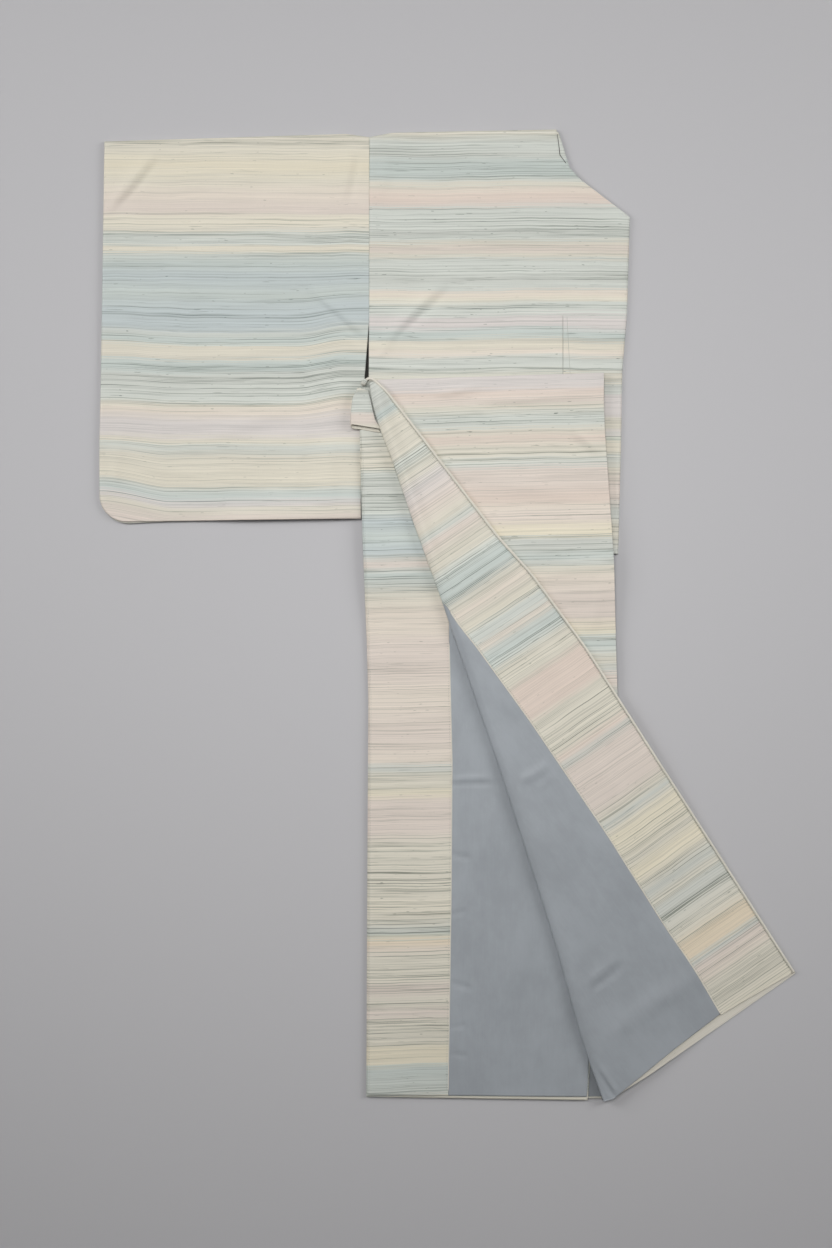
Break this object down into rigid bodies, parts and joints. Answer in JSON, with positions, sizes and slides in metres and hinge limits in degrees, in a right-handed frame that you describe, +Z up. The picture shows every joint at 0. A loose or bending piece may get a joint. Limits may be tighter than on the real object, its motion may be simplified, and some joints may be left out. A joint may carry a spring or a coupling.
{
  "type": "folded two-piece kimono",
  "caption": "Kimono folded flat: a wide-sleeved top lies under a lined wrap skirt whose front edge is turned back on a diagonal to show its facing and lining.",
  "frame": {"origin": "middle of the underside of the folded garment, on the surface it lies on", "axes": "+Y towards the shoulder fold of the top, +X towards its centre back, +Z up from the surface"},
  "size_m": [0.8854, 1.2354, 0.0185],
  "materials": {
    "striped_cloth": "slub-woven silk with fine cross stripes of cream, peach, grey-green and pale blue, soft dull sheen",
    "hidden_layers": "edges of folded silk layers, cream",
    "edge_cloth": "plain pale cream silk edge and hem",
    "lining": "smooth grey satin lining with a soft sheen"
  },
  "bodies": {
    "root": {"sleeve_lower_layers": "hidden_layers", "sleeve_upper_panel": "striped_cloth", "top_lower_layers": "hidden_layers", "top_back_panel": "striped_cloth", "top_back_insert": "striped_cloth", "collar_edge": "edge_cloth", "skirt_lower_layers": "hidden_layers", "skirt_left_shell": "edge_cloth", "skirt_left_facing": "striped_cloth", "skirt_left_lining": "lining", "skirt_page_lining": "lining", "skirt_page_shell": "striped_cloth", "skirt_flap_facing": "striped_cloth", "skirt_flap_lining": "lining", "waist_tie_end": "striped_cloth", "waist_tie_knot": "lining"}
  },
  "joints": []
}
